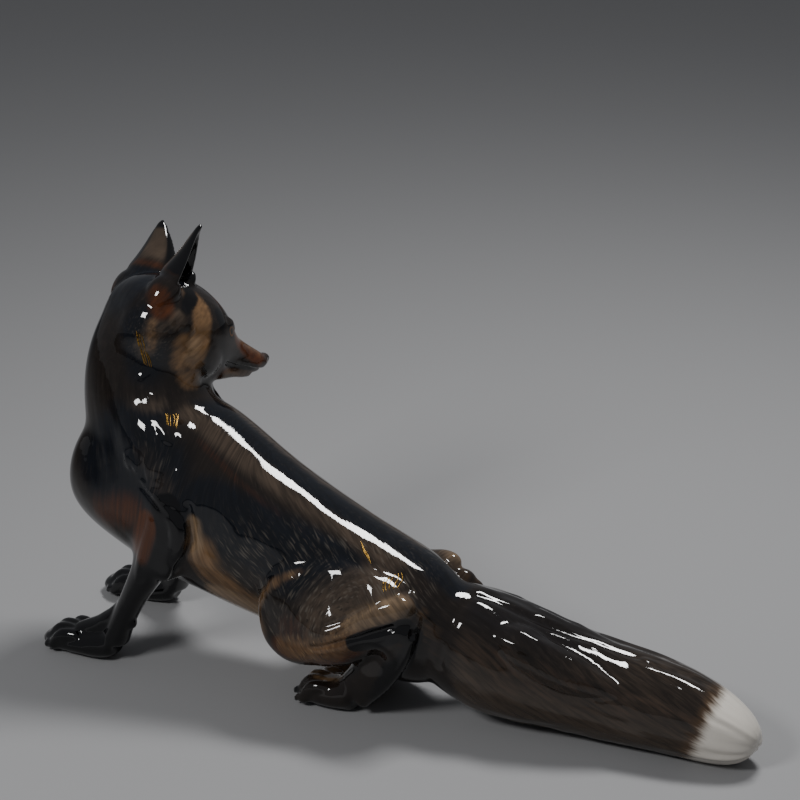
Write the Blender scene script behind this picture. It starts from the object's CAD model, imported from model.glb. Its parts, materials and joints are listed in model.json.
import json
import math

import bmesh
import bpy
import numpy as np
from mathutils import Matrix, Vector
from mathutils.bvhtree import BVHTree

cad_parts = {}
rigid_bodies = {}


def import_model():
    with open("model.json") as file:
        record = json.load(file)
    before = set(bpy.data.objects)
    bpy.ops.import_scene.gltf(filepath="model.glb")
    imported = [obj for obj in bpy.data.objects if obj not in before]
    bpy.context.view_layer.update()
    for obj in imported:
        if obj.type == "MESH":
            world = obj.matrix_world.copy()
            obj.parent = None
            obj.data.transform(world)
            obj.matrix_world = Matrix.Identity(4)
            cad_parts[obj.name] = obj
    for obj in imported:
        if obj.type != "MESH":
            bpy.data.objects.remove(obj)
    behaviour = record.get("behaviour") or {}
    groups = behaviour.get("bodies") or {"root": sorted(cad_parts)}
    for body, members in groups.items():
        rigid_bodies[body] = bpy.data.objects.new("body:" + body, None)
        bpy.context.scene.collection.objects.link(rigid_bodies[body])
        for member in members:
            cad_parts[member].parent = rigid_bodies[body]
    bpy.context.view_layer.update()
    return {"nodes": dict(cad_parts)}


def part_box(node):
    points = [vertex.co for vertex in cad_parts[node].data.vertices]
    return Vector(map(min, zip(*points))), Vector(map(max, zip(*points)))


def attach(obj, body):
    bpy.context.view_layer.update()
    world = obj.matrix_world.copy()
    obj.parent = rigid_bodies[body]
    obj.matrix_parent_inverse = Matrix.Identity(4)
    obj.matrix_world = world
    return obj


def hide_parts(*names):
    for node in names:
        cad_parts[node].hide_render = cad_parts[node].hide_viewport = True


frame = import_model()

# Hand-painted porcelain fox. Places are millimetres in the part's frame: the fox faces -X,
# its left flank faces -Y, it stands on z = 0.
MM = 0.001
MID_Y = -9.5                            # the spine's plane
ROOT = "root"
THICK_GRAIN, FINE_GRAIN = 1.7, 0.95     # width of the clay's faces: for the masses, for the finished skin
GIRTH = 32                              # how far from its middle the coat is measured round the body
EAR_WALL, EAR_BOW, EAR_CUPPING = 2.8, 4.2, 0.85     # thickness, bend forward, how deeply it is rolled
HEEL = 27.5                             # how far a paw's heel lies behind its toes' tips

# The head's own axes: forward along the muzzle, to the fox's left, and up
HEAD_AT = np.array((-138.3, 1, 184.8))
HEAD_TURN, HEAD_FALL, HEAD_ROLL = map(math.radians, (124.2, 25.9, 13))


def head_axes():
    turn = Matrix.Rotation(-HEAD_TURN, 3, "Z")
    forward = turn @ Vector((-math.cos(HEAD_FALL), 0, -math.sin(HEAD_FALL)))
    left = turn @ Vector((0, -1, 0))
    left = Matrix.Rotation(-HEAD_ROLL, 3, forward) @ left
    return np.array((forward, left, forward.cross(left)))


HEAD_AXES = head_axes()


def face(forward, left, up):
    """A place on the head, from its distances forward, to the left and up."""
    return tuple(HEAD_AT + np.array((forward, left, up)) @ HEAD_AXES)


def facing(forward, left, up):
    """A direction given in the head's axes."""
    return tuple(np.array((forward, left, up)) @ HEAD_AXES)


# ---- Clay: eggs, rolls and leaves that are pressed onto the castings ----

def select(*things):
    """Selects these things alone and makes the first one active."""
    bpy.ops.object.select_all(action="DESELECT")
    for thing in things:
        thing.select_set(True)
    bpy.context.view_layer.objects.active = things[0]


def linked(name, data):
    """A new object in the scene, made from its data."""
    made = bpy.data.objects.new(name, data)
    bpy.context.scene.collection.objects.link(made)
    return made


def egg(place, sizes, aim=(1, 0, 0), lift=(0, 0, 1), detail=3):
    """An egg of clay with half lengths along its aim, across it and along its lift."""
    bpy.ops.mesh.primitive_ico_sphere_add(subdivisions=detail, radius=1)
    lump = bpy.context.object
    along = Vector(aim).normalized()
    up = Vector(lift)
    up = (up - along * up.dot(along)).normalized()
    across = up.cross(along)
    columns = [axis * size * MM for axis, size in zip((along, across, up), sizes)]
    shape = Matrix(columns).transposed().to_4x4()
    shape.translation = Vector(place) * MM
    lump.data.transform(shape)
    return lump


def roll(places, radii):
    """A roll of clay through the places, as thick as the radii say."""
    curve = bpy.data.curves.new("roll", "CURVE")
    curve.dimensions, curve.bevel_depth, curve.bevel_resolution = "3D", MM, 3
    curve.use_fill_caps, curve.resolution_u = True, 6
    line = curve.splines.new("BEZIER")
    line.bezier_points.add(len(places) - 1)
    for point, place, radius in zip(line.bezier_points, places, radii):
        point.co = Vector(place) * MM
        point.radius = radius
        point.handle_left_type = point.handle_right_type = "AUTO"
    select(linked("roll", curve))
    bpy.ops.object.convert(target="MESH")
    return bpy.context.object


def both(rows, radii):
    """The same roll of clay on both sides of the head."""
    return [roll([face(f, s * l, u) for f, l, u in rows], radii) for s in (1, -1)]


def joined(lumps):
    """Presses lumps of clay into one object."""
    select(*lumps)
    bpy.ops.object.join()
    return bpy.context.object


def skinned(clay, grain):
    """Gives the clay one even skin, with faces as wide as the grain in millimetres."""
    select(clay)
    skin = clay.modifiers.new("skin", "REMESH")
    skin.mode, skin.voxel_size = "VOXEL", grain * MM
    bpy.ops.object.modifier_apply(modifier="skin")
    clay.data.materials.clear()
    return clay


# ---- Numbers of a mesh ----

def read(rows, field, width=3, kind=float):
    """A field of a mesh's rows as a table."""
    values = np.empty(len(rows) * width, dtype=kind)
    rows.foreach_get(field, values)
    return values.reshape(-1, width)


def places_of(mesh):
    return read(mesh.vertices, "co") / MM


def pairs_of(mesh):
    return read(mesh.edges, "vertices", 2, np.int64)


def skin_tree(mesh):
    return BVHTree.FromPolygons([v.co for v in mesh.vertices], [p.vertices for p in mesh.polygons])


def put(mesh, places):
    mesh.vertices.foreach_set("co", (places * MM).ravel())
    mesh.update()


def evened(values, pairs, count):
    """The mean of each point's neighbours."""
    total = np.zeros((count, values.shape[1]))
    for axis in range(values.shape[1]):
        column = values[:, axis]
        total[:, axis] = np.bincount(pairs[:, 0], column[pairs[:, 1]], count)
        total[:, axis] += np.bincount(pairs[:, 1], column[pairs[:, 0]], count)
    near = np.bincount(pairs.ravel(), minlength=count)[:, None]
    return total / np.maximum(near, 1)


def smoothed(values, pairs, rounds, pull=0.6, push=0, weight=1):
    """Wipes over the clay: each round pulls in, and a push keeps thin parts from shrinking."""
    for _ in range(rounds):
        for step in (pull, -push) if push else (pull,):
            values = values + step * weight * (evened(values, pairs, len(values)) - values)
    return values


def ease(values, low, high):
    """0 below low, 1 above high and a smooth rise between them."""
    t = np.clip((values - low) / (high - low), 0, 1)
    return t * t * (3 - 2 * t)


def away(places, line):
    """Each place's distance to a line through the given points."""
    best = np.full(len(places), 1e9)
    line = np.array(line, float)
    if len(line) == 1:
        line = np.concatenate((line, line))
    for a, b in zip(line[:-1], line[1:]):
        run = b - a
        t = np.clip((places - a) @ run / max(run @ run, 1e-9), 0, 1)
        best = np.minimum(best, np.linalg.norm(places - a - t[:, None] * run, axis=1))
    return best


# ---- The figure's masses ----

def castings():
    """Copies of the castings, their air vent stopped so that the skin stays outside."""
    lumps = []
    for name, node in frame["nodes"].items():
        if name.endswith("_ear"):
            continue
        copy = node.copy()
        copy.data = node.data.copy()
        copy.parent = None
        bpy.context.scene.collection.objects.link(copy)
        lumps.append(copy)
    lumps.append(egg((-46.6, MID_Y, 34.5), (6, 6, 6)))
    return lumps


def side_eggs(x, off, z, sizes, aim, lift=(0, 0, 1), sides=(-1, 1)):
    """The same egg on both flanks, `off` from the spine's plane."""
    return [egg((x, MID_Y + s * off, z), sizes, np.multiply(aim, (1, s, 1)), np.multiply(lift, (1, s, 1)))
            for s in sides]


SHOULDERS = [       # blade, upper arm down to the elbow, and the chest between them
    (-122, 24, 124, (33, 14, 19), (0.42, 0.08, -0.9), (1, 0, 0.3)),
    (-109, 31, 102, (20, 11, 12.5), (0.62, 0.12, -0.78), (1, 0, 0.6)),
    (-150, 17, 108, (22, 16, 20), (0.3, 0, 1), (1, 0, 0)),
    (-106, 22, 133, (16, 8, 12), (0.6, 0, -0.8), (1, 0, 0.6), (-1,)),
    (-110, 32.5, 88, (19, 9.5, 12.5), (0.35, 0.1, -0.93), (1, 0, 0.4)),
    (-116, 32.5, 74, (18, 8.5, 10.5), (0.5, 0.1, -0.86), (1, 0, 0.4)),
]
HAUNCHES = [        # into the flanks, the fullness over the knees, and the web between shank and foot
    (8, 22, 66, (28, 15, 20), (1, 0, -0.2), (0, 0, 1), (-1,)),
    (8, 20, 58, (26, 15, 18), (1, 0, -0.2), (0, 0, 1), (1,)),
    (-16, 30, 54, (24, 15, 22), (1, 0, 0.1)),
    (10, 31, 65, (25, 9.5, 10), (0.88, -0.12, 0.42)),
    (9, 28, 44, (11, 5.5, 14), (0.5, 0, 0.85), (1, 0, 0)),
]


def muscles():
    """Shoulders, upper arms, haunches and the neck's swell."""
    lumps = [lump for row in SHOULDERS for lump in side_eggs(*row)]
    lumps.append(egg((-150, MID_Y, 92), (24, 24, 22), (1, 0, 0.3)))
    lumps += [lump for row in HAUNCHES for lump in side_eggs(*row)]
    # rump round the tail's root, nape and the cheeks' ruff
    lumps.append(egg((42, MID_Y + 1, 50), (20, 20, 24), (1, 0.1, -0.25)))
    lumps.append(egg((-140, -4, 170), (30, 25, 24), (0, 0.1, 1), (1, 0, 0)))
    lumps += [egg(face(10, s * 19, -17), (14, 9, 11), facing(0.7, s * 0.1, -0.7), facing(0, s, 0))
              for s in (1, -1)]
    lumps += [egg(face(29, s * 12, -14), (13, 8.5, 8.5), facing(1, s * -0.3, 0.2), facing(0, 0, 1))
              for s in (1, -1)]
    return lumps


# Places (along, off the spine, up) round which the clay is pushed: reach, then the push
PUSHES = [
    (-10, 41, 82, 26, (0, -6.5, -1)),      # the haunch leans in towards its top
    (-16, 44, 50, 22, (0, 2, -1)),       # and is fullest low down
    (-84, 42, 90, 20, (0, -4.5, 0)),       # hollow behind the elbow
    (10, 36, 40, 15, (0, -5, 0)),        # hollow between hock and shank
    (-158, 40, 118, 24, (0, -3, 0)),       # plane in front of the shoulder
    (-50, 40, 70, 30, (0, -1.5, 0)),       # tucked flank
]


def off_spine(places):
    """Places with their distance off the spine's plane, and the side that each lies on."""
    side = np.where(places[:, 1] < MID_Y, -1.0, 1.0)
    return np.column_stack((places[:, 0], np.abs(places[:, 1] - MID_Y), places[:, 2])), side


def pushed(places):
    rest, side = off_spine(places)
    for x, off, z, reach, (dx, dy, dz) in PUSHES:
        fade = np.clip(1 - ((rest - (x, off, z)) ** 2).sum(1) / reach ** 2, 0, 1) ** 2
        push = np.column_stack((np.full(len(side), dx), side * dy, np.full(len(side), dz)))
        places = places + fade[:, None] * push
    # the bridge of the muzzle drops below the brow
    head = local_head(places)
    near = ease(36 - np.linalg.norm(head[:, 1:], axis=1), 0, 6)
    drop = 3.4 * ease(head[:, 0], 33, 46) * ease(head[:, 2], -7, 3) * near
    return places - drop[:, None] * HEAD_AXES[2]


def thick_masses():
    clay = skinned(joined(castings() + muscles()), THICK_GRAIN)
    mesh = clay.data
    places, pairs = places_of(mesh), pairs_of(mesh)
    legs = ease(62 - places[:, 2], -8, 14) * (places[:, 0] < 60) * (places[:, 0] > -215)
    snout = ease(local_head(places)[:, 0], 30, 44)
    weight = (1 - 0.85 * np.maximum(legs, snout))[:, None]
    put(mesh, pushed(smoothed(places, pairs, 22, 0.7, weight=weight)))
    return clay


# ---- Fine clay: paws, face, ears, tufts ----

def toes(tip_x, mid_y, reach, heights, spread, splay):
    """Four toes with knuckles and claws, and the heel's pad behind them."""
    lumps = []
    for number, share in enumerate((-1.5, -0.5, 0.5, 1.5)):
        y = mid_y + share * spread
        # the outer toes stand back
        x = tip_x + 0.9 * reach * (abs(share) > 1) * 0.35
        turn = splay * share
        tip = (x, y + turn * 2.5, heights[2])
        knuckle = (x + reach * 0.42, y + turn, heights[1])
        root = (x + reach, y * 0.9 + mid_y * 0.1, heights[0])
        lumps.append(roll([root, knuckle, tip], (3.4, 4, 3)))
        lumps.append(egg((knuckle[0], knuckle[1], knuckle[2] + 0.6), (3.8, 3.2, 3.4)))
        x, y, z = tip
        lumps.append(egg((x + 0.6, y, z), (3.4, 3, 3)))
        lumps.append(roll([(x - 1, y, z + 1), (x - 3, y + turn * 0.5, z + 0.2),
                           (x - 4.2, y + turn, max(z - 2.2, 1.8))], (2, 1.8, 1.3)))
    lumps.append(egg((tip_x + HEEL, mid_y, 4), (6, 8, 4)))
    return lumps


def paws():
    """Four paws, the insteps that run onto the forepaws and the wrists' pads."""
    lumps = []
    # the right foreleg stands further forward
    for x, y in ((-190.5, -35.6), (-197.5, 36.5)):
        lumps += toes(x, y, 16, (12, 11.4, 5), 5.4, 0.5)
    for y in (-26.5, 7.4):
        lumps += toes(-37.5, y, 14, (12.5, 12, 4.8), 5.6, 0.4)
    lumps += [egg((x, y, 26), (4.5, 3.2, 4.8), (0.3, 0, -1)) for x, y in ((-139, -38.5), (-147, 27))]
    lumps += [roll([(-140, -37, 39), (-153, -36.5, 23), (-172, -36.3, 12)], (3.5, 6, 5.5)),
              roll([(-148, 29, 39), (-161, 31, 23), (-179, 35, 12)], (3.5, 6, 5.5))]
    return lumps


def flank(side):
    """Looks at a flank from outside, for clay that is laid at (along, up)."""
    return lambda x, z: ((x, MID_Y + side * 90, z), (0, -side, 0))


def cheek(side):
    """Looks at a side of the head, for clay that is laid at (forward, up)."""
    return lambda f, u: (face(f, side * 70, u), facing(0, -side, 0))


def touched(tree, look, rows, sink=0):
    """The places that a look meets on the clay, each sunk under its skin."""
    places = []
    for row in rows:
        start, aim = look(*row)
        found = tree.ray_cast(Vector(start) * MM, Vector(aim).normalized())
        if found[0] is not None:
            places.append(tuple(np.array(found[0] - found[1] * sink * MM) / MM))
    return places


def hind_limbs():
    """Shank, hock and foot on both hind legs. The right leg is seated a little lower."""
    lumps = []
    for s in (-1, 1):
        drop = 0 if s < 0 else 3

        def at(x, off, z):
            return (x, MID_Y + s * off, z - drop)
        lumps += [roll([at(3, 35.5, 51.5), at(14, 34.5, 55.5), at(24, 32, 60), at(30, 29, 58)],
                       (2.6, 3.6, 4.4, 5)),
                  roll([at(30, 29, 58), at(25, 27, 44), at(13, 23, 25), at(-2, 20, 9)], (5, 5, 5.6, 6))]
    return lumps


def fore_limbs():
    """Elbows and the ridges of the forearms. The right leg stands further out and forward."""
    lumps = []
    for s in (-1, 1):
        wide = 0 if s < 0 else 3

        def at(x, off, z):
            return (x - wide, MID_Y + s * (off + wide * 1.5), z)
        lumps += [roll([at(-114, 36, 109), at(-106, 37, 103), at(-100.5, 37, 95), at(-101, 36, 84),
                        at(-113, 31, 62)], (3.5, 4.8, 5.6, 6.2, 4.4)),
                  roll([at(-113, 36, 96), at(-121, 35, 72), at(-132, 31.5, 46), at(-143, 30, 28)],
                       (5.5, 6, 4.6, 4)),
                  egg(at(-111, 38.5, 94), (3.2, 2.6, 3.2))]
    return lumps


def folds(tree):
    """Folds of the coat on the shoulders, behind the elbows, at the neck and below the ears."""
    lumps = []
    for s in (-1, 1):
        look = flank(s)

        def fold(rows, radii, sink=0.4):
            places = touched(tree, look, rows, sink)
            if len(places) > 1:
                lumps.append(roll(places, radii[:len(places)]))
        # short ribs down the shoulder's rear edge
        for number in range(8):
            t = number / 7
            x, z = -121 + 10.5 * t + 1.5 * math.sin(9 * t), 157 - 19 * t
            fold([(x - 5.5, z + 2.6), (x, z + 0.4), (x + 4.6, z - 2.4)], (0.6, 1.8, 0.7))
        # tufts on the shoulder
        for x, z in ((-131, 129.5), (-128.3, 130.5), (-125.8, 129)):
            fold([(x, z), (x + 1.2, z - 5), (x + 3.4, z - 9.5)], (1.6, 2.3, 0.7))
        for number, x in enumerate((-119.5, -116.8, -114.2, -111.6)):
            fold([(x, 132 - number), (x + 2.2, 124), (x + 3.6, 117), (x + 5.6, 110.5)],
                 (1, 2.2, 1.9, 0.8))
        # creases that run down to the elbow
        fold([(-122, 117), (-113, 111), (-105, 106.5), (-98, 102.5)], (1, 2, 1.8, 0.8))
        fold([(-113, 118), (-107, 111.5), (-101, 106.5), (-96, 103)], (0.8, 1.6, 1.5, 0.7))
        # fold at the neck, and the haze of coat over the withers
        fold([(-139, 162), (-130, 166.5), (-121, 171.5)], (1, 2.6, 0.9), 1.6)
        fold([(-132, 151), (-122, 157), (-112, 160)], (1.2, 3.4, 1.2), 2.6)
        # hair over the haunch's front edge
        for number in range(11):
            t = number / 10
            x, z = -52 + 36 * t, 62 + 27 * math.sin(math.pi * 0.5 * t)
            fold([(x - 2, z - 1.5), (x + 1.5, z - 0.5), (x + 5, z - 3.5)], (0.5, 1.1, 0.4), 0.5)
        # wisps below the ear
        for number in range(12):
            f, u = -13 + 1.5 * number, 6 - 2.2 * math.sin(2.4 * number) - 0.3 * number
            places = touched(tree, cheek(s), [(f - 1.5, u + 5), (f + 0.6, u), (f - 0.2, u - 5)], 0.2)
            if len(places) > 2:
                lumps.append(roll(places, (0.9, 1.5, 0.5)))
    return lumps


FACE_ROLLS = [
    # brow ridges and eyelids
    ([(23, 18.5, 11.5), (29.5, 18.6, 11.6), (35.5, 14.6, 10.2), (39, 10, 8.6)], (1, 1.9, 1.5, 0.8)),
    ([(26.2, 20.8, 6.4), (29.8, 20.6, 9.4), (34.4, 17.8, 8.8), (37.6, 14.6, 5.6)], (0.9, 1.3, 1.3, 0.8)),
    ([(26.2, 21, 6), (30.6, 20.9, 3.4), (35.2, 17.9, 3.2), (38.4, 14.4, 4.6)], (0.9, 1.3, 1.2, 0.8)),
    # upper lip with its whisker pad, from the nose to the mouth's corner
    ([(66, 3.6, -4.2), (60, 6.4, -5.6), (52, 8.8, -6.6), (43, 12, -7.8), (35, 16.4, -8.2)],
     (2.8, 3.7, 3.7, 3.4, 2.4)),
    # lower jaw and chin
    ([(60, 2.6, -11), (54, 5.4, -12.2), (45, 9, -13.8), (35, 12.8, -16)], (2.4, 3, 3.6, 4.6)),
]


def snout_and_brow():
    """Brow ridges, eyelids, muzzle, lips, chin and nose."""
    lumps = [lump for rows, radii in FACE_ROLLS for lump in both(rows, radii)]
    # nose pad and its wings
    lumps.append(egg(face(68.2, 0, -1.2), (3.6, 4.2, 3.4), facing(1, 0, -0.2), facing(0, 0, 1)))
    lumps += both([(66, 3, -0.4), (68.6, 3.4, -1.4)], (1.9, 1.5))
    # eyeballs between the lids, then cheekbones with the jaw's muscles
    lumps += [egg(face(31.8, s * 17.2, 6.3), (3.3, 3.3, 3.3)) for s in (-1, 1)]
    lumps += [egg(face(17, s * 21.5, -8), (17, 8, 15), facing(1, s * -0.35, -0.2), facing(0, 0, 1))
              for s in (-1, 1)]
    return lumps


def ear_axes(side):
    """An ear's base, its course to the tip, the way across it and the way that it opens."""
    base, tip = np.array((-7, side * 15, 14)), np.array((-2, side * 21.5, 54.5))
    course = tip - base
    long = np.linalg.norm(course)
    course /= long
    opening = np.array((0.76, side * 0.65, 0))
    opening -= course * (opening @ course)
    opening /= np.linalg.norm(opening)
    return base, course * long, np.cross(course, opening), opening


def ear_half(t):
    """Half of an ear's width at a share of its height."""
    return 14 * (1 - np.clip(t, 0, 1) ** 1.5) ** 0.85 * (0.72 + 0.28 * np.clip(t / 0.3, 0, 1))


def ear_cup(t):
    """How far round an ear is rolled to each side, in radians."""
    return np.radians(112 - 48 * np.clip(t, 0, 1))


def ear(side):
    """An ear: a tall leaf, rolled into a cone at its root, that opens outward and forward."""
    bpy.ops.mesh.primitive_grid_add(x_subdivisions=26, y_subdivisions=28, size=1)
    leaf = bpy.context.object
    base, course, across, opening = ear_axes(side)
    for point in leaf.data.vertices:
        u, t = point.co.x * 2, point.co.y + 0.5
        turn = u * ear_cup(t)
        bent = math.sin(turn) * across - math.cos(turn) * EAR_CUPPING * opening
        place = base + course * t + ear_half(t) * bent
        point.co = Vector(face(place[0] + EAR_BOW * math.sin(math.pi * t), place[1], place[2])) * MM
    wall = leaf.modifiers.new("wall", "SOLIDIFY")
    wall.thickness, wall.offset = EAR_WALL * MM, 0
    bpy.context.view_layer.objects.active = leaf
    bpy.ops.object.modifier_apply(modifier="wall")
    # bulb behind the root, the fold at the outer rim and the hair inside
    bulb = np.array((-12, side * 19, 12.5))
    rim = base + course * 0.22 - across * side * 8 + opening * 5
    lumps = [leaf, egg(face(*bulb), (13, 9.5, 9), facing(*course), facing(*across)),
             egg(face(*rim), (9, 3.4, 4), facing(*course), facing(*opening))]
    for number in range(4):
        start = base + course * (0.08 + 0.04 * number) + across * (number - 1.5) * 3 - opening * 6
        end = start + course * 0.3 + opening * 4
        hair = [face(*place) for place in (start, (start + end) / 2 + opening, end)]
        lumps.append(roll(hair, (1.8, 1.4, 0.5)))
    return lumps


def brush():
    """The long lobe along the brush's left side, and the tuft that shows beyond its root."""
    return [roll([(60, -13, 55), (82, -13, 50), (108, -10.5, 41), (140, -7, 34)], (9, 12.5, 11, 3)),
            roll([(52, 4, 62), (80, 8, 52), (115, 15, 40), (150, 17, 33)], (7, 11, 9, 2)),
            egg((34, 17, 64), (8, 6, 8), (1, 0.2, -0.4)), egg((40, 18, 62), (6, 4.5, 5), (1, 0.2, -0.5)),
            egg((31, 16, 68), (4, 3.5, 4), (1, 0, -0.5))]


def fine_clay(masses):
    tree = skin_tree(masses.data)
    lumps = [masses] + paws() + hind_limbs() + fore_limbs() + snout_and_brow() + ear(1) + ear(-1)
    lumps += folds(tree) + brush()
    clay = skinned(joined(lumps), FINE_GRAIN)
    mesh = clay.data
    places, pairs = places_of(mesh), pairs_of(mesh)
    put(mesh, smoothed(places, pairs, 4, 0.6, 0.3))
    return clay


# ---- Tooling: grooves, ridges and the fur's relief ----

def on_face(rows):
    return [[face(f, s * l, u) for f, l, u in rows] for s in (-1, 1)]


# Grooves as (places, depth, width): on the face (forward, to the side, up), on the flanks (along, up)
FACE_GROOVES = [
    ([(68, 1.5, -5.8), (62, 7, -8.2), (54, 10.2, -9.4), (45, 13.2, -10.6), (37, 17.4, -10.6)], 1.6, 1.1),
    ([(71, 2.4, -1.4), (69.5, 4.4, -1.2)], 1.3, 0.9),
]
FLANK_GROOVES = [
    # over and under the shank
    ([(-10, 60), (2, 65.5), (12, 73), (22, 78.5), (27, 79)], 1.2, 1.6),
    ([(-16, 47), (-4, 51), (6, 54.5), (16, 59.5), (24, 63)], 1.7, 1.7),
    # behind the shoulder and the elbow
    ([(-112, 156), (-108, 146), (-105.5, 136), (-103, 126)], 0.8, 2.6),
    ([(-94, 106), (-92.5, 96), (-93, 86), (-100, 73), (-107, 61)], 1.8, 2),
    ([(-117.5, 114.2), (-109, 108.6), (-101, 104)], 0.5, 1),
    ([(-122, 113), (-112, 106.5), (-104, 101)], 0.6, 1.6),
    ([(-49, 72), (-55, 62), (-54, 50)], 1, 2),
]
BRUSH_GROOVES = [
    # round the tail's root, and beside the brush's top ridge
    ([(44, -33, 40), (46, -31, 55), (49, -24, 68), (52, -12, 74)], 1.4, 2.8),
    ([(54, -7, 71.5), (75, -2, 64), (95, 4, 57.5), (113, 9, 51.5), (135, 11, 47.5)], 1.6, 2.6),
]


def tooling(tree):
    """Every groove as (line of places on the clay, depth, width)."""
    cuts = [(line, depth, width) for rows, depth, width in FACE_GROOVES for line in on_face(rows)]
    cuts.append(([face(72, 0, -1.6), face(69.5, 0, -5.4)], 0.9, 0.8))
    cuts += [(touched(tree, flank(s), rows), depth, width)
             for rows, depth, width in FLANK_GROOVES for s in (-1, 1)]
    return [cut for cut in cuts + BRUSH_GROOVES if len(cut[0]) > 1]


def lattice(u, v, seed):
    """Smooth noise from -1 to 1 on a grid of unit cells."""
    iu, iv = np.floor(u).astype(np.int64), np.floor(v).astype(np.int64)
    fu, fv = u - iu, v - iv
    fu, fv = fu * fu * (3 - 2 * fu), fv * fv * (3 - 2 * fv)

    def corner(a, b):
        h = (a * 374761393 + b * 668265263 + seed * 974634777) & 0x7FFFFFFF
        h = ((h ^ (h >> 13)) * 1274126177) & 0x7FFFFFFF
        return ((h ^ (h >> 16)) & 0xFFFF) / 32767.5 - 1

    low = corner(iu, iv) * (1 - fu) + corner(iu + 1, iv) * fu
    high = corner(iu, iv + 1) * (1 - fu) + corner(iu + 1, iv + 1) * fu
    return low * (1 - fv) + high * fv


# The line down the middle of head, neck, trunk and tail, from the nose to the tail's tip
SPINE = [face(68, 0, -3), face(35, 0, -2), face(8, 0, -2), (-138, 1, 180), (-141, -4, 160), (-136, -8, 138),
         (-124, MID_Y, 118), (-104, MID_Y, 100), (-80, MID_Y, 87), (-45, MID_Y, 75), (-12, MID_Y, 64),
         (20, MID_Y, 53), (45, -7, 46), (72, 2, 35), (112, 10, 26), (155, 11.5, 22), (182, 10, 18.5),
         (202, 8.5, 15)]


def bent_line(points, step=2):
    """Closely spaced points on a smooth line through the given ones."""
    points = np.array(points, float)
    ends = np.concatenate((2 * points[:1] - points[1:2], points, 2 * points[-1:] - points[-2:-1]))
    made = []
    for a, b, c, d in zip(ends[:-3], ends[1:-2], ends[2:-1], ends[3:]):
        count = max(2, int(np.linalg.norm(c - b) / step))
        for t in np.arange(count) / count:
            made.append(0.5 * (2 * b + (c - a) * t + (2 * a - 5 * b + 4 * c - d) * t * t
                               + (3 * b - a - 3 * c + d) * t ** 3))
    made.append(points[-1])
    return np.array(made)


def combed(places, line, girth):
    """How far each place lies along a line and round it, with up carried from the line's end."""
    line = bent_line(line)
    runs = np.gradient(line, axis=0)
    runs /= np.linalg.norm(runs, axis=1)[:, None]
    ups = np.empty_like(runs)
    up = np.array((0, 0, 1), float)
    for number in range(len(runs) - 1, -1, -1):
        run = runs[number]
        up = up - run * (up @ run)
        up /= np.linalg.norm(up)
        ups[number] = up
    gone = np.concatenate(((0,), np.cumsum(np.linalg.norm(np.diff(line, axis=0), axis=1))))
    nearest = np.empty(len(places), dtype=np.int64)
    for start in range(0, len(places), 20000):
        part = places[start:start + 20000]
        gaps = ((part ** 2).sum(1)[:, None] - 2 * part @ line.T) + (line ** 2).sum(1)[None, :]
        nearest[start:start + 20000] = gaps.argmin(1)
    off = places - line[nearest]
    run, rise = runs[nearest], ups[nearest]
    side = np.cross(run, rise)
    turn = np.arctan2((off * side).sum(1), (off * rise).sum(1))
    return gone[nearest] + (off * run).sum(1), turn * girth


def local_head(places):
    return (places - HEAD_AT) @ HEAD_AXES.T


def one_cheek(head):
    """Places on the head with its far side folded onto its near one."""
    return np.column_stack((head[:, 0], np.abs(head[:, 1]), head[:, 2]))


def masks(places):
    """Where the snout, the ears, the tail, the limbs and the thighs are."""
    head = local_head(places)
    off = np.abs(places[:, 1] - MID_Y)
    thigh = ease(44 - np.hypot(places[:, 0] + 6, places[:, 2] - 56), 0, 14) * ease(off, 20, 30)
    return {
        "snout": ease(head[:, 0], 28, 40) * ease(34 - np.linalg.norm(head[:, 1:], axis=1), 0, 4),
        "ear": ease(head[:, 2], 24, 30) * ease(32 - np.abs(head[:, 0]), 0, 6),
        "tail": ease(places[:, 0], 44, 60),
        "legs": np.minimum(ease(58 - places[:, 2], 0, 20), ease(60 - places[:, 0], 0, 8)),
        "thigh": thigh * ease(60 - places[:, 0], 0, 10),
    }


def tooled(clay):
    mesh = clay.data
    places, pairs, outward = places_of(mesh), pairs_of(mesh), read(mesh.vertex_normals, "vector")
    zones = masks(places)
    lift = np.zeros(len(places))
    for line, depth, width in tooling(skin_tree(mesh)):
        gap = away(places, line)
        lift -= depth * np.exp(-(gap / width) ** 2)
    along, round_ = combed(places, SPINE, GIRTH)
    calm = 1 - np.maximum.reduce((zones["snout"], zones["ear"], zones["legs"] * 0.9))
    body = calm * (1 - zones["tail"]) * (1 - 0.6 * zones["thigh"])
    lift += 0.16 * body * lattice(along / 22, round_ / 6, 3)
    lift += 0.05 * body * lattice(along / 8, round_ / 2.2, 11)
    # the brush's long locks, ragged where they end
    locks = lattice(along / 34 + 0.35 * lattice(along / 12, round_ / 9, 5), round_ / 7.5, 7)
    lift += zones["tail"] * (0.85 * locks + 0.22 * lattice(along / 13, round_ / 4, 9))
    lift *= ease(places[:, 2], 0.4, 5)
    places = smoothed(places + outward * lift[:, None], pairs, 1, 0.4)
    places[:, 2] = np.maximum(places[:, 2], 0)
    put(mesh, places)
    return clay


# ---- Paint: where each underglaze colour lies ----

def dab(places, line, inner, outer):
    """1 near a line of places, fading to 0 at the outer distance."""
    return ease(-away(places, line), -outer, -inner)


def at_rest(places):
    """Places off the spine's plane, with the right foreleg brought back beside the left one."""
    rest, side = off_spine(places)
    lower = np.clip(1 - places[:, 2] / 111.6, 0, 1) * (places[:, 0] < -85) * (side > 0)
    rest[:, 1] = np.abs(rest[:, 1] - 21 * lower)
    rest[:, 0] += 8 * lower
    return rest


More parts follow.
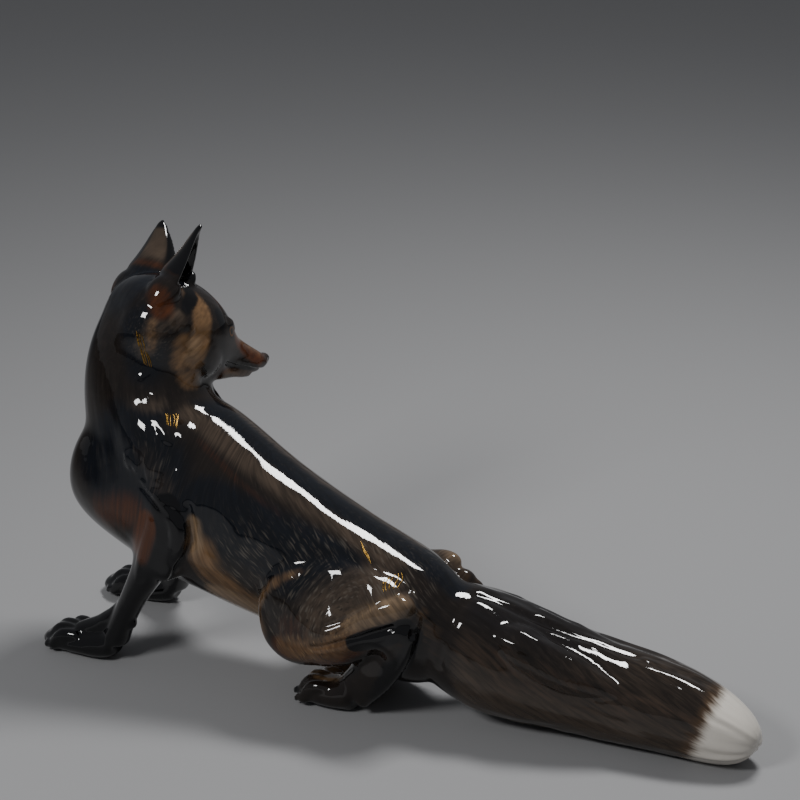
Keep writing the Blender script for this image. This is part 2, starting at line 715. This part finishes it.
# Dabs of each colour as (line of places, full to, gone from, strength), here (along, off the spine, up)
BODY_DABS = {
    "blue": [([(-140, 36, 122), (-122, 36, 120)], 16, 40, 0.9),
     ([(-112, 37, 108), (-100, 36, 100)], 6, 20, 0.9), ([(-128, 30, 148), (-140, 30, 172)], 8, 26, 0.8),
     ([(-132, 22, 190)], 4, 18, 0.6), ([(-84, 36, 104), (-50, 36, 94), (-15, 33, 84)], 12, 28, 0.95),
     ([(-105, 3, 154), (-60, 3, 126), (-20, 3, 108), (20, 3, 90), (45, 3, 78)], 3, 13, 0.8),
     ([(-20, 38, 76), (6, 34, 82), (20, 30, 80)], 4, 16, 0.6),
     ([(-132, 36, 60), (-120, 38, 82)], 6, 18, 0.6)],
    "dun": [([(-122, 22, 158), (-132, 26, 160)], 3, 15, 0.7),
     ([(-104, 14, 148), (-70, 14, 128), (-20, 15, 106), (15, 14, 90)], 2, 13, 0.6),
     ([(-6, 42, 66), (12, 34, 74)], 10, 32, 0.7), ([(2, 42, 62), (14, 38, 70), (26, 32, 74)], 6, 13, 0.9),
     ([(-120, 33, 131), (-108, 37, 114)], 2, 12, 0.35)],
    "ochre": [([(-88, 36, 82), (-84, 36, 70), (-66, 36, 56), (-48, 34, 48)], 2, 15, 0.8),
     ([(-52, 38, 60), (-48, 40, 72), (-36, 40, 82), (-22, 36, 88)], 1, 7, 0.55),
     ([(-30, 44, 42), (-10, 42, 46), (2, 40, 54)], 3, 15, 0.65), ([(40, 26, 60)], 2, 14, 0.4),
     ([(-26, 17, 15), (-14, 17, 14)], 3, 8, 0.8), ([(24, 8, 60), (36, 24, 68)], 1, 7, 0.4)],
    "cream": [([(-92, 34, 98), (-91, 34, 88), (-92, 31, 76), (-88, 26, 62)], 1, 7, 0.7),
     ([(-80, 26, 52), (-60, 26, 44), (-36, 24, 36)], 6, 18, 0.85),
     ([(-80, 0, 44), (-20, 0, 28)], 18, 30, 0.9), ([(4, 42, 64), (16, 37, 70), (27, 31, 74)], 3, 11, 0.5)],
    "rust": [([(-118, 38, 93), (-123, 38, 79), (-130, 35, 62)], 3.5, 12, 1),
     ([(-146, 30, 92), (-130, 36, 97)], 2, 20, 0.65),
     ([(-36, 44, 40), (-14, 42, 40), (2, 38, 48)], 3, 13, 0.8),
     ([(-10, 44, 49), (2, 41, 54), (14, 38, 60), (22, 34, 63)], 1, 4.5, 0.9), ([(16, 36, 42)], 2, 7, 0.9),
     ([(-28, 45, 54)], 4, 16, 0.4), ([(40, 30, 46), (34, 34, 60)], 3, 14, 0.4),
     ([(-95, 22, 138), (-70, 24, 120), (-40, 26, 105), (-10, 27, 93)], 0.5, 5, 0.28)],
    "black": [([(-190, 26, 6), (-150, 28, 14), (-138, 28, 36), (-128, 31, 50)], 16, 30, 0.95),
     ([(5, 36, 52), (16, 36, 57), (27, 31, 62), (30, 27, 56), (24, 26, 42), (10, 21, 20),
      (-6, 18, 8)], 5, 8.5, 1),
     ([(-106, 38, 104), (-103.5, 38, 94), (-104, 37, 84), (-111, 34, 72),
      (-120, 32, 58)], 6.5, 10.5, 0.95), ([(-42, 17, 4), (-30, 17, 5), (-16, 17, 4)], 5, 8, 1)],
    "flecks": [([(-60, 36, 80), (-20, 34, 84), (20, 26, 82)], 10, 34, 1),
     ([(-70, 36, 66), (-50, 34, 54)], 8, 22, 0.8), ([(-20, 42, 60)], 20, 36, 1),
     ([(-120, 33, 131), (-106, 37, 116)], 5, 12, 0.5)],
}

# and on the head (forward, to the side, up)
HEAD_DABS = {
    "blue": [([(-20, 0, 12), (-8, 8, 24)], 8, 26, 0.8), ([(-22, 22, -6), (-14, 24, -24)], 6, 22, 0.8)],
    "dun": [([(-14, 26, -2), (-16, 22, -16)], 2, 11, 0.6), ([(-6, 27, 3)], 3, 9, 0.7),
     ([(8, 0, 27), (28, 0, 19)], 6, 16, 0.5)],
    "ochre": [([(1, 26, 21), (8, 28, 11), (10, 29, -3), (11, 26, -14)], 3, 9.5, 0.95),
     ([(13, 22, -23)], 4, 12, 0.8), ([(2, 28, -8), (5, 26, -17)], 2, 10, 0.7),
     ([(-16, 24, -2), (-13, 24, -14)], 1, 6, 0.45), ([(44, 9, 4), (62, 4, 0)], 1, 8, 0.5),
     ([(40, 12, -17), (58, 3, -13)], 3, 8, 0.6)],
    "cream": [([(8, 29, -6), (9, 27, -14)], 2, 8, 0.5), ([(57, 6.5, -6.8), (50, 9, -7.4)], 0.8, 3.6, 0.6),
     ([(22, 0, -28), (-2, 8, -34)], 6, 16, 0.5)],
    "rust": [([(-15, 22, 12), (-13, 24, 6)], 3, 10, 0.85),
     ([(41, 10, 7), (52, 7, 4), (63, 4, 1)], 7, 13, 1), ([(34, 15, -1)], 2, 8, 0.7),
     ([(36, 14, -16), (56, 4, -13)], 3, 10, 0.6), ([(22, 12, 18)], 3, 12, 0.5)],
    "black": [([(21, 24, 13), (24, 22.5, 2), (27, 21, -7), (34, 17, -9)], 1.5, 6.5, 0.9),
     ([(70.5, 0, -1)], 5, 7, 1),
     ([(34, 17, -10.4), (40, 15, -10.6), (54, 10, -9.4), (64, 6, -7.6)], 0.8, 2.6, 0.9),
     ([(0, 20, 26), (2, 24, 18), (-1, 26, 9)], 2, 7, 0.9), ([(32, 19.5, 6.2)], 3, 5.5, 1)],
    "flecks": [([(-16, 24, -10)], 6, 18, 0.5), ([(10, 28, 0)], 6, 14, 0.25)],
}
EYE = (32.6, 20.2, 6.3)         # the middle of each painted iris, on the head
PAINTS = ("blue", "dun", "ochre", "cream", "rust", "black", "white", "flecks")


def paint(places, around):
    """How strongly each colour lies on each place. `around` is the angle down from the back."""
    rest, head = at_rest(places), local_head(places)
    cheeks = one_cheek(head)
    on_head = ease(np.linalg.norm(head * (0.7, 1, 1), axis=1), 52, 40)
    on_tail = ease(places[:, 0], 44, 58)
    body = (1 - on_tail) * (1 - on_head)
    cover = {}

    def lay(name, level):
        cover[name] = np.maximum(cover[name], level)

    for name in PAINTS:
        level = np.zeros(len(places))
        for line, inner, outer, strength in BODY_DABS.get(name, ()):
            level = np.maximum(level, strength * body * dab(rest, line, inner, outer))
        for line, inner, outer, strength in HEAD_DABS.get(name, ()):
            level = np.maximum(level, strength * on_head * dab(cheeks, line, inner, outer))
        cover[name] = level
    # the brush: darkest along its top, grey-brown below, white at the end
    top = ease(-np.abs(around - 0.35), -0.8, -0.2) * ease(-places[:, 0], -150, -90)
    lay("blue", on_tail * top * 0.4)
    lay("dun", on_tail * (0.4 + 0.3 * ease(around, 0.9, 2)) * (1 - 0.8 * top))
    end = places[:, 0] - 0.35 * (places[:, 2] - 20) + 0.12 * (places[:, 1] - 10)
    cover["white"] = ease(end, 165, 185)
    lay("ochre", 0.6 * ease(end, 160, 178))
    lay("rust", on_tail * 0.2 * ease(-np.abs(around - 1.3), -0.7, -0.2))
    # ears: black rims, tips and channels, dun backs, rust at the root
    for side in (1, -1):
        base, course, across, opening = ear_axes(side)
        t = (head - base) @ course / (course @ course)
        bow = EAR_BOW * np.sin(math.pi * np.clip(t, 0, 1))[:, None] * np.array((1, 0, 0))
        off = head - base - bow
        near = ease(t, 0.22, 0.36) * ease(-np.linalg.norm(off - t[:, None] * course, axis=1), -20, -17)
        x, y = off @ across, off @ opening / EAR_CUPPING
        turn = np.abs(np.arctan2(x, -y))
        rim = np.maximum(ease(turn / ear_cup(t), 0.74, 0.95), 0.9 * ease(turn, 0.35, 0.95))
        hollow = ease(ear_half(t) - np.hypot(x, y), -0.4, 0.6)
        for name in PAINTS:
            cover[name] *= 1 - near
        lay("black", near * np.maximum(np.maximum(rim, ease(t, 0.78, 0.95)), hollow * 0.75))
        lay("dun", near * ease(t, 0.25, 0.6) * (1 - rim) * 0.9)
        lay("rust", near * ease(-t, -0.5, -0.3) * 0.55 * (1 - hollow))
    return cover


def combs(places):
    """The lie of the coat on the body, that on haunches and head, how far this second one holds,
    and the angle down from the back."""
    along, round_ = combed(places, SPINE, GIRTH)
    down = np.abs(round_)
    slant = 0.42 * ease(along, 120, 190)
    body = np.column_stack((along, down - slant * along, np.clip(round_, -10, 10) * 0.6))
    rest, side = off_spine(places)
    x, z = 10 - rest[:, 0], rest[:, 2] - 58
    wide = np.hypot(x, z)
    local = np.column_stack((np.arctan2(x, z) * 52 - 0.35 * wide, wide, side * 9))
    haunch = ease(x, -2, 12) * ease(-wide, -52, -42) * ease(rest[:, 1], 22, 32)
    head = local_head(places)
    f, l, u = head.T
    face_ = np.column_stack((-0.85 * u - 0.5 * f, 0.85 * f - 0.5 * u, l))
    on_head = ease(-np.linalg.norm((head - (14, 0, 0)) * (0.6, 1, 1), axis=1), -44, -32)
    local = np.where(on_head[:, None] > 0, face_, local)
    return body, local, np.maximum(haunch, on_head), down / GIRTH


def keep(mesh, name, values):
    """Keeps a value or a vector for each point of the mesh, for the glaze's pattern."""
    kind, field = ("FLOAT_VECTOR", "vector") if values.ndim == 2 else ("FLOAT", "value")
    values = np.ascontiguousarray(values, dtype=np.float32).ravel()
    mesh.attributes.new(name, kind, "POINT").data.foreach_set(field, values)


def paint_skin(mesh):
    places, pairs = places_of(mesh), pairs_of(mesh)
    body, local, weight, around = combs(places)
    cover = paint(places, around)
    keep(mesh, "coat_on_body", smoothed(body, pairs, 6, 0.7))
    keep(mesh, "coat_on_haunch_and_head", local)
    keep(mesh, "haunch_and_head", weight)
    for name in PAINTS:
        keep(mesh, name + "_paint", cover[name])
    keep(mesh, "from_the_iris", one_cheek(local_head(places)) - EYE)


# ---- Castings: the skin is parted along the luted joints ----

PIECES = {node: node + ("_shell" if node.endswith("_ear") else "_casting") for node in (
    "torso", "head", "left_ear", "right_ear", "left_foreleg", "right_foreleg", "left_hind_leg",
    "right_hind_leg", "tail")}
OUT_OF_REACH = 30.0     # a casting's distance where it isn't measured


def nearest_casting(mesh):
    """For each face of the skin, the casting that it belongs to."""
    places, pairs = places_of(mesh), pairs_of(mesh)
    names = list(PIECES)
    gaps = np.full((len(places), len(names)), OUT_OF_REACH)
    for column, name in enumerate(names):
        low, high = (np.array(corner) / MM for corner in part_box(name))
        inside = np.all((places > low - 14) & (places < high + 14), axis=1)
        tree = skin_tree(frame["nodes"][name].data)
        for index in np.flatnonzero(inside):
            found = tree.find_nearest(Vector(places[index]) * MM)
            gaps[index, column] = found[3] / MM
    gaps = smoothed(gaps, pairs, 14, 0.8)
    return gaps[read(mesh.polygons, "vertices", 4, np.int64)].mean(1).argmin(1)


def groups_of(items, near):
    """Parts a list into groups of items that touch."""
    left, groups = set(items), []
    for start in items:
        if start not in left:
            continue
        left.remove(start)
        group = [start]
        for item in group:      # grows while it is walked
            for other in near(item):
                if other in left:
                    left.remove(other)
                    group.append(other)
        groups.append(group)
    return groups


def keep_largest(shape):
    """Deletes crumbs that the parting left."""
    groups = groups_of(list(shape.faces), lambda f: [other for e in f.edges for other in e.link_faces])
    crumbs = [f for group in sorted(groups, key=len)[:-1] for f in group]
    if crumbs:
        bmesh.ops.delete(shape, geom=crumbs, context="FACES")


def close_seams(shape):
    """Closes each seam with faces that run inward to its middle, wound like the skin beside them."""
    edges = [e for e in shape.edges if e.is_boundary]
    for group in groups_of(edges, lambda e: [other for v in e.verts for other in v.link_edges]):
        corners = [(e.link_loops[0].link_loop_next.vert, e.link_loops[0].vert) for e in group]
        centre = shape.verts.new(sum((a.co for a, b in corners), Vector()) / len(corners))
        for a, b in corners:
            shape.faces.new((a, b, centre))


def parted(clay):
    """Closed castings, with the whole skin's normals so that the glaze runs over the seams."""
    mesh = clay.data
    owner = nearest_casting(mesh)
    keep(mesh, "skin_normal", read(mesh.vertex_normals, "vector"))
    made = {}
    for number, name in enumerate(PIECES.values()):
        part = linked(name, mesh.copy()).data
        shape = bmesh.new()
        shape.from_mesh(part)
        others = [f for f, own in zip(shape.faces, owner) if own != number]
        bmesh.ops.delete(shape, geom=others, context="FACES")
        keep_largest(shape)
        close_seams(shape)
        shape.to_mesh(part)
        shape.free()
        part.name = name
        values = read(part.attributes["skin_normal"].data, "vector")
        part.polygons.foreach_set("use_smooth", np.ones(len(part.polygons), dtype=bool))
        part.normals_split_custom_set_from_vertices(values)
        part.attributes.remove(part.attributes["skin_normal"])
        made[name] = bpy.data.objects[name]
    bpy.data.objects.remove(clay)
    return made


# ---- Colours ----

def linear(code):
    """A colour's hex code as linear light."""
    values = [int(code[i:i + 2], 16) / 255 for i in (0, 2, 4)]
    return tuple(v / 12.92 if v <= 0.04045 else ((v + 0.055) / 1.055) ** 2.4 for v in values) + (1,)


def new_material(name):
    material = bpy.data.materials.new(name)
    material.use_nodes = True
    tree = material.node_tree
    tree.nodes.clear()
    return material, tree


def add(tree, kind, settings=None, inputs=None):
    """Adds a node with its settings. Each input takes a value or another node's output."""
    node = tree.nodes.new("ShaderNode" + kind)
    for key, value in (settings or {}).items():
        setattr(node, key, value)
    for key, given in (inputs or {}).items():
        if isinstance(given, bpy.types.NodeSocket):
            tree.links.new(given, node.inputs[key])
        else:
            node.inputs[key].default_value = given
    return node


def surface(tree, inputs):
    """The material's shader, joined to its output."""
    shader = add(tree, "BsdfPrincipled", None, inputs).outputs[0]
    add(tree, "OutputMaterial", None, {"Surface": shader})


def stored(tree, name, output="Fac"):
    return add(tree, "Attribute", {"attribute_name": name}).outputs[output]


def chain(tree, operation, *terms):
    """One math operation over sockets and numbers, from left to right."""
    result = terms[0]
    for term in terms[1:]:
        result = add(tree, "Math", {"operation": operation}, {0: result, 1: term}).outputs[0]
    return result


def vectors(tree, operation, first, second=(0, 0, 0)):
    return add(tree, "VectorMath", {"operation": operation}, {0: first, 1: second}).outputs


def ramp(tree, value, low, high, to_low=0, to_high=1):
    node = add(tree, "MapRange", {"interpolation_type": "SMOOTHSTEP", "clamp": True},
               {"From Min": low, "From Max": high, "To Min": to_low, "To Max": to_high, "Value": value})
    return node.outputs[0]


def noise(tree, lie, scale, detail):
    return add(tree, "TexNoise", None, {"Scale": scale, "Detail": detail, "Vector": lie}).outputs


def strokes(tree, lie, long, wide, seed):
    """Brushed hairs along the coat: 1 in the middle of each, with a chance value for each hair."""
    shift = vectors(tree, "ADD", lie, (seed, seed * 1.7, seed * 0.6))[0]
    sway = vectors(tree, "MULTIPLY", noise(tree, shift, 0.09, 2)["Color"], (0, 4, 2))[0]
    lie = vectors(tree, "MULTIPLY", vectors(tree, "ADD", shift, sway)[0], (1 / long, 1 / wide, 1 / wide))[0]
    cells = add(tree, "TexVoronoi", {"feature": "F1"}, {"Scale": 1, "Vector": lie})
    chance = add(tree, "SeparateColor", None, {0: cells.outputs["Color"]}).outputs[0]
    return ramp(tree, cells.outputs["Distance"], 0.12, 0.62, 1, 0), chance


def streaks(tree, lie, long, wide):
    """Soft streaks along the coat, as a wide brush leaves them."""
    lie = vectors(tree, "MULTIPLY", lie, (1 / long, 1 / wide, 1 / wide))[0]
    return noise(tree, lie, 1, 3)[0]


def blend(tree, factor, first, second, kind="MIX"):
    settings = {"data_type": "RGBA", "blend_type": kind}
    return add(tree, "Mix", settings, {0: factor, 6: first, 7: second}).outputs[2]


# Underglaze colours, in the order in which they are laid on the umber ground
GROUND = "191411"
COLOURS = (("blue", "0b0e14", 0.5), ("dun", "3f352c", 0.65), ("rust", "432310", 0.6),
           ("ochre", "634b33", 0.5), ("cream", "7c6750", 0.5))


def porcelain():
    """Underglaze colours brushed on white porcelain, under a clear glossy glaze.

    The eye sees soft airbrushed fields with brushed hairs over them, and sharp wet highlights."""
    material, tree = new_material("clear_glaze_over_underglaze_colours")
    on_body = stored(tree, "coat_on_body", "Vector")
    on_haunch = stored(tree, "coat_on_haunch_and_head", "Vector")
    haunch = stored(tree, "haunch_and_head")

    def plus(*terms):
        return chain(tree, "ADD", *terms)

    def times(*terms):
        return chain(tree, "MULTIPLY", *terms)

    def step(*values):
        return ramp(tree, *values)

    def mixed(a, b):
        return add(tree, "Mix", {"data_type": "FLOAT"}, {0: haunch, 2: a, 3: b}).outputs[0]

    def chosen(pattern, *sizes):
        """One pattern that follows the coat on the body and round the haunch."""
        first, second = pattern(tree, on_body, *sizes), pattern(tree, on_haunch, *sizes)
        if isinstance(first, tuple):
            return tuple(mixed(a, b) for a, b in zip(first, second))
        return mixed(first, second)

    soft = chosen(streaks, 16, 2.4)
    fine = chosen(streaks, 6, 0.8)
    hair, chance = chosen(strokes, 7.5, 1.1, 3)
    small, chance_small = chosen(strokes, 5, 0.7, 11)
    ragged = plus(times(soft, 0.7), times(fine, 0.3))

    def laid(colour, name, code, rough, low, high, thin):
        """The colour with one more field of paint over it, ragged at its edge."""
        level = stored(tree, name + "_paint")
        edge = plus(level, times(plus(ragged, -0.5), rough))
        return blend(tree, times(step(edge, low, high), step(level, 0, thin)), colour, linear(code))

    colour = linear(GROUND)
    for name, code, rough in COLOURS:
        colour = laid(colour, name, code, rough, 0.12, 0.88, 0.15)
    # uneven washes: each colour is thinner in places
    tone = step(soft, 0.3, 0.7, 0.78, 1.22)
    tone = add(tree, "CombineColor", None, {0: tone, 1: tone, 2: tone}).outputs[0]
    colour = blend(tree, 1, colour, tone, "MULTIPLY")
    # pale hairs, then dark ones between them
    flecks = stored(tree, "flecks_paint")
    pale = times(hair, step(chance, 0.45, 1), flecks, 0.6)
    warm = step(plus(stored(tree, "ochre_paint"), stored(tree, "cream_paint")), 0.05, 0.6)
    colour = blend(tree, pale, colour, blend(tree, warm, linear("5c564e"), linear("846b4b")))
    thin = times(small, step(chance_small, 0.5, 1), plus(times(flecks, 0.35), 0.10))
    colour = blend(tree, thin, colour, linear("51483f"))
    dark = times(hair, step(chance, 0.35, 0), plus(times(flecks, 0.5), 0.12))
    colour = blend(tree, dark, colour, linear("0e0c0b"))
    for name, code in (("black", "060608"), ("white", "cfc9bf")):
        colour = laid(colour, name, code, 0.9, 0.2, 0.8, 0.12)
    # painted eyes: an amber iris round a dark pupil, in a dark outline
    gone = stored(tree, "from_the_iris", "Vector")
    far = vectors(tree, "LENGTH", gone)["Value"]
    amber = blend(tree, noise(tree, gone, 1.6, 3)[0], linear("2c1806"), linear("5e3a12"))
    rings = ((3.9, 3.1, linear("050505")), (2.9, 2.6, amber), (1.9, 1.6, linear("040404")))
    for outer, inner, tint in rings:
        colour = blend(tree, step(far, outer, inner), colour, tint)
    # the glaze pools in the fur's relief and leaves a slight waviness
    place = add(tree, "TexCoord").outputs["Object"]
    height = plus(times(noise(tree, place, 190, 1)[0], 0.6), times(soft, 0.5), times(hair, 0.12))
    bump = add(tree, "Bump", None, {"Strength": 0.3, "Distance": 0.00014, "Height": height}).outputs[0]
    surface(tree, {"Roughness": 0.035, "IOR": 1.52, "Base Color": colour, "Normal": bump})
    return material


def gilding():
    """Burnished gold, drawn over the glaze with a fine brush: warm sparks on the dark coat."""
    material, tree = new_material("burnished_gold_over_glaze")
    place = add(tree, "TexCoord").outputs["Object"]
    wear = noise(tree, place, 900, 3)[0]
    gold = blend(tree, ramp(tree, wear, 0.35, 0.7), linear("6f5426"), linear("b8924a"))
    dull = ramp(tree, wear, 0.3, 0.7, 0.22, 0.45)
    surface(tree, {"Metallic": 1, "Base Color": gold, "Roughness": dull})
    return material


# ---- Gold hairs ----

# Where each tuft starts (along, up), how it runs, its spread, and how many strokes it has
GOLD_TUFTS = [(-131.5, 190, 1.4, -8.5, (3, -2), 4), (-129.5, 181, 1.8, -9, (3.2, -2), 5),
              (-112.5, 149, 3.4, -4.6, (5, -1.4), 6), (-3, 94.5, 5, -4.4, (4, -3.4), 5),
              (17, 84.5, 2.4, -4.2, (5, 0.8), 5)]
GOLD_STEPS = (0, 0.12, 0.25, 0.38, 0.5, 0.63, 0.76, 0.88, 1)
GOLD_RADII = (0.12, 0.24, 0.3, 0.32, 0.32, 0.3, 0.26, 0.2, 0.1)


def gold_hairs(tree):
    """Fine gold lines on the glaze over the neck, the withers and the haunch."""
    lines = []
    for x, z, dx, dz, (wide, high), count in GOLD_TUFTS:
        for number in range(count):
            t = number / (count - 1) - 0.5
            a, b, bend = x + wide * t, z + high * t, 0.5 * math.sin(5 * number)
            rows = [(a + dx * w + bend * math.sin(3 * w), b + dz * w) for w in GOLD_STEPS]
            places = touched(tree, flank(-1), rows, -0.02)
            if len(places) == len(rows):
                lines.append(roll(places, GOLD_RADII))
    return joined(lines)


# ---- Making ----

clay = tooled(fine_clay(thick_masses()))
paint_skin(clay.data)
hairs = gold_hairs(skin_tree(clay.data))
made = parted(clay)
glaze = porcelain()
for node, name in PIECES.items():
    piece = made[name]
    piece.data.materials.clear()
    piece.data.materials.append(glaze)
    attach(piece, ROOT)
    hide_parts(node)

hairs.name = hairs.data.name = "gilt_hair_strokes"
hairs.data.materials.clear()
hairs.data.materials.append(gilding())
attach(hairs, ROOT)


# ---- Floor, light and camera ----

FLOOR_WIDTH = 16        # metres, so that no edge of it shows from any side
WORLD_STRENGTH = 0.27
# Soft boxes as (name, place, target, size, watts): over and behind the back, and left of the camera
SOFTBOXES = [("key_softbox", (0.15, 0.38, 0.95), (-0.02, 0, 0.08), (0.32, 0.17), 9),
             ("side_softbox", (-0.26, -0.78, 0.74), (-0.02, 0, 0.06), (0.26, 0.20), 6)]
# The photograph's view: how far round from the left flank and how far above, in degrees
AZIMUTH, ELEVATION = 27, 23.5
CAMERA_TARGET, CAMERA_DISTANCE = (-0.0404, 0.0905, 0.085), 1.35


def stage():
    bpy.ops.mesh.primitive_plane_add(size=FLOOR_WIDTH, location=(0, 0, 0))
    floor = bpy.context.object
    floor.name = "floor"
    material, tree = new_material("pale_paper_floor")
    surface(tree, {"Base Color": linear("8a8a8b"), "Roughness": 0.75})
    floor.data.materials.append(material)
    world = bpy.data.worlds.new("studio")
    world.use_nodes = True
    sky = world.node_tree.nodes["Background"].inputs
    sky["Color"].default_value, sky["Strength"].default_value = linear("d5d7dc"), WORLD_STRENGTH
    bpy.context.scene.world = world


def aimed(thing, place, course):
    thing.location = place
    thing.rotation_mode = "QUATERNION"
    thing.rotation_quaternion = course.to_track_quat("-Z", "Y")


def softbox(name, place, target, size, watts):
    data = bpy.data.lights.new(name, "AREA")
    data.shape, data.size, data.size_y, data.energy = "RECTANGLE", size[0], size[1], watts
    aimed(linked(name, data), place, Vector(target) - Vector(place))


def camera():
    data = bpy.data.cameras.new("camera")
    data.lens, data.sensor_width, data.shift_y = 108.9, 36, 0.0875
    data.clip_start, data.clip_end = 0.05, 20
    a, e = math.radians(AZIMUTH), math.radians(ELEVATION)
    back = Vector((math.sin(a) * math.cos(e), -math.cos(a) * math.cos(e), math.sin(e)))
    eye = linked("camera", data)
    aimed(eye, Vector(CAMERA_TARGET) + back * CAMERA_DISTANCE, -back)
    bpy.context.scene.camera = eye


stage()
for row in SOFTBOXES:
    softbox(*row)
camera()
